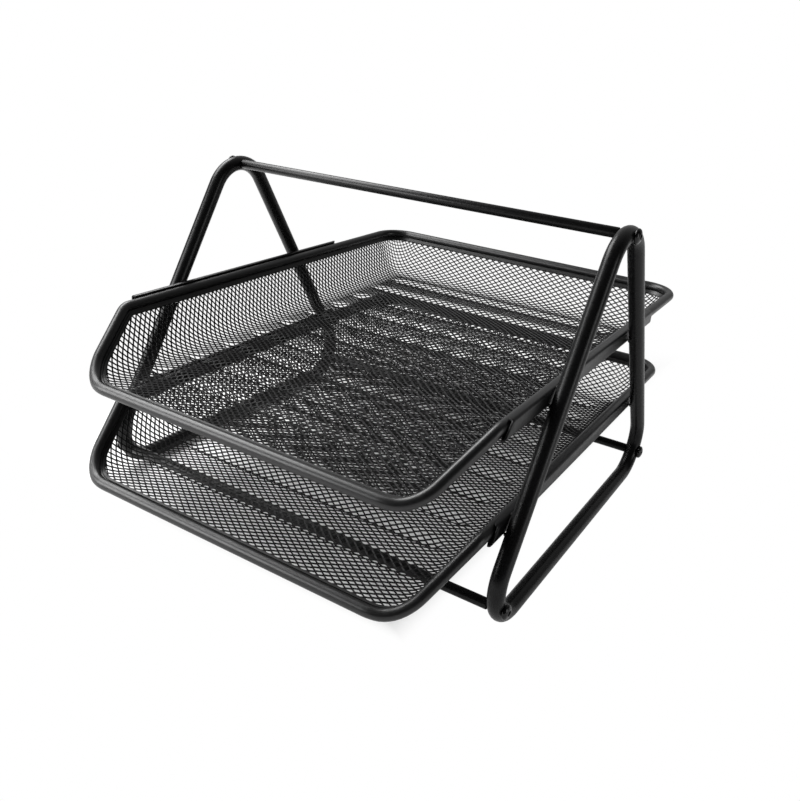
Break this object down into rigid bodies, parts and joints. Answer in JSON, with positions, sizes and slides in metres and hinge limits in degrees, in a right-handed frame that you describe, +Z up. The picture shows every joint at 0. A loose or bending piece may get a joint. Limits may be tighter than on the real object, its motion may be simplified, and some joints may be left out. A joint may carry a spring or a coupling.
{
  "type": "mesh desk organizer",
  "caption": "Two-tier desk tray: sliding expanded-steel mesh trays with rolled rims, on rails between triangular tube side frames joined by cross bars.",
  "frame": {"origin": "on the desk, under the middle of the whole object's bounding box at rest", "axes": "+Z up, -Y towards the open front of the trays, +X to the right as seen from the front"},
  "size_m": [0.2872, 0.3548, 0.1937],
  "materials": {
    "tube_coat": "satin black powder coat on round steel tube and rod",
    "rail_coat": "satin black powder coat on folded sheet steel",
    "rim_coat": "satin black powder coat on rolled steel edging",
    "mesh_coat": "black powder coat on expanded steel mesh",
    "screw_black": "black dome-headed screw"
  },
  "bodies": {
    "frame": {"left_side_frame": "tube_coat", "right_side_frame": "tube_coat", "top_cross_bar": "tube_coat", "front_cross_bar": "tube_coat", "rear_cross_bar": "tube_coat", "left_front_screw": "screw_black", "left_rear_screw": "screw_black", "left_top_screw": "screw_black", "right_front_screw": "screw_black", "right_rear_screw": "screw_black", "right_top_screw": "screw_black", "lower_left_rail": "rail_coat", "lower_right_rail": "rail_coat", "upper_left_rail": "rail_coat", "upper_right_rail": "rail_coat"},
    "upper_tray": {"upper_tray_rim": "rim_coat", "upper_tray_floor": "mesh_coat", "upper_tray_back_wall": "mesh_coat", "upper_tray_left_wall": "mesh_coat", "upper_tray_right_wall": "mesh_coat", "upper_tray_left_rear_corner": "mesh_coat", "upper_tray_right_rear_corner": "mesh_coat", "upper_tray_left_front_corner": "mesh_coat", "upper_tray_right_front_corner": "mesh_coat"},
    "lower_tray": {"lower_tray_rim": "rim_coat", "lower_tray_floor": "mesh_coat", "lower_tray_back_wall": "mesh_coat", "lower_tray_left_wall": "mesh_coat", "lower_tray_right_wall": "mesh_coat", "lower_tray_left_rear_corner": "mesh_coat", "lower_tray_right_rear_corner": "mesh_coat", "lower_tray_left_front_corner": "mesh_coat", "lower_tray_right_front_corner": "mesh_coat"}
  },
  "joints": [
    {"name": "upper_tray_slide", "type": "slide", "parent": "frame", "child": "upper_tray", "axis": [0, -1, 0], "range_m": [0, 0.15]},
    {"name": "lower_tray_slide", "type": "slide", "parent": "frame", "child": "lower_tray", "axis": [0, -1, 0], "range_m": [-0.0065, 0.1435]}
  ]
}
